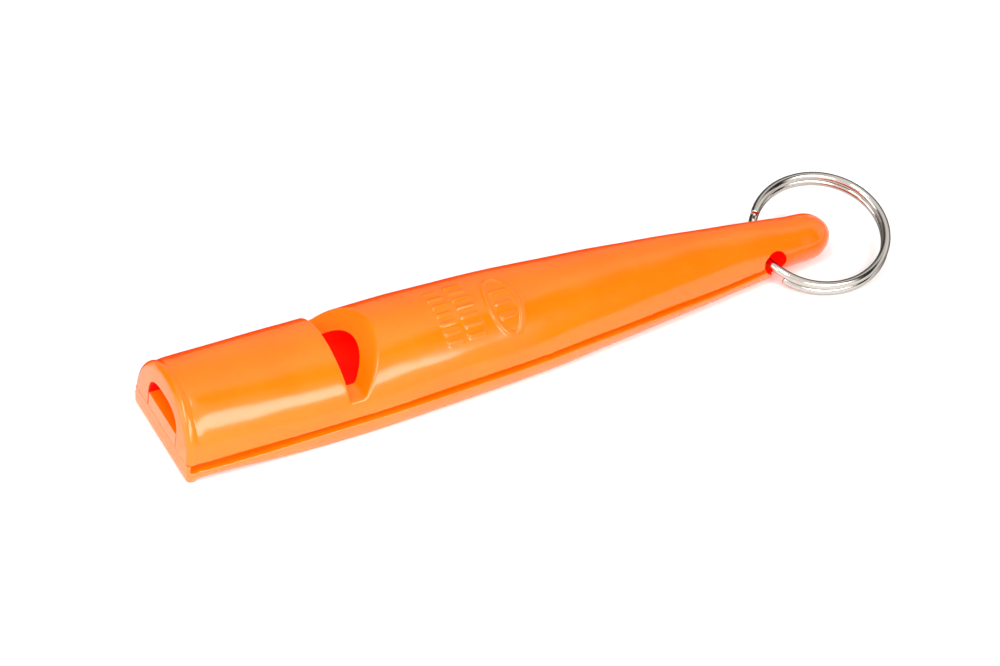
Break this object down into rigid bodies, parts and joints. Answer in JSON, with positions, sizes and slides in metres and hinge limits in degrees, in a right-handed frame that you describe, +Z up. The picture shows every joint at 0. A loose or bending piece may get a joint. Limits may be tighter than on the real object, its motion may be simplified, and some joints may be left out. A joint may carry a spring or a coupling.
{
  "type": "training whistle",
  "caption": "Pealess moulded plastic training whistle with an arched mouthpiece, side-to-side window notch, tapered barrel and a split ring through its tail.",
  "frame": {"origin": "on the flat underside of the base, on the whistle's centre plane, halfway between the mouth end and the tail tip", "axes": "+X from the mouth end towards the tail and the ring, +Y across the whistle, +Z up from the underside"},
  "size_m": [0.0863, 0.0165, 0.0086],
  "materials": {
    "orange_gloss_plastic": "glossy injection-moulded, saturated orange",
    "orange_base_plastic": "glossy injection-moulded, saturated orange",
    "nickel_plated_wire": "bright nickel-plated round steel wire"
  },
  "bodies": {
    "whistle": {"body_shell": "orange_gloss_plastic", "base_plate": "orange_base_plastic"},
    "ring": {"split_ring": "nickel_plated_wire"}
  },
  "joints": [
    {"name": "ring_swing", "type": "hinge", "parent": "whistle", "child": "ring", "pos_m": [0.0318, 0, 0.00275], "axis": [0, -1, 0], "range_deg": [-155, 140]}
  ]
}
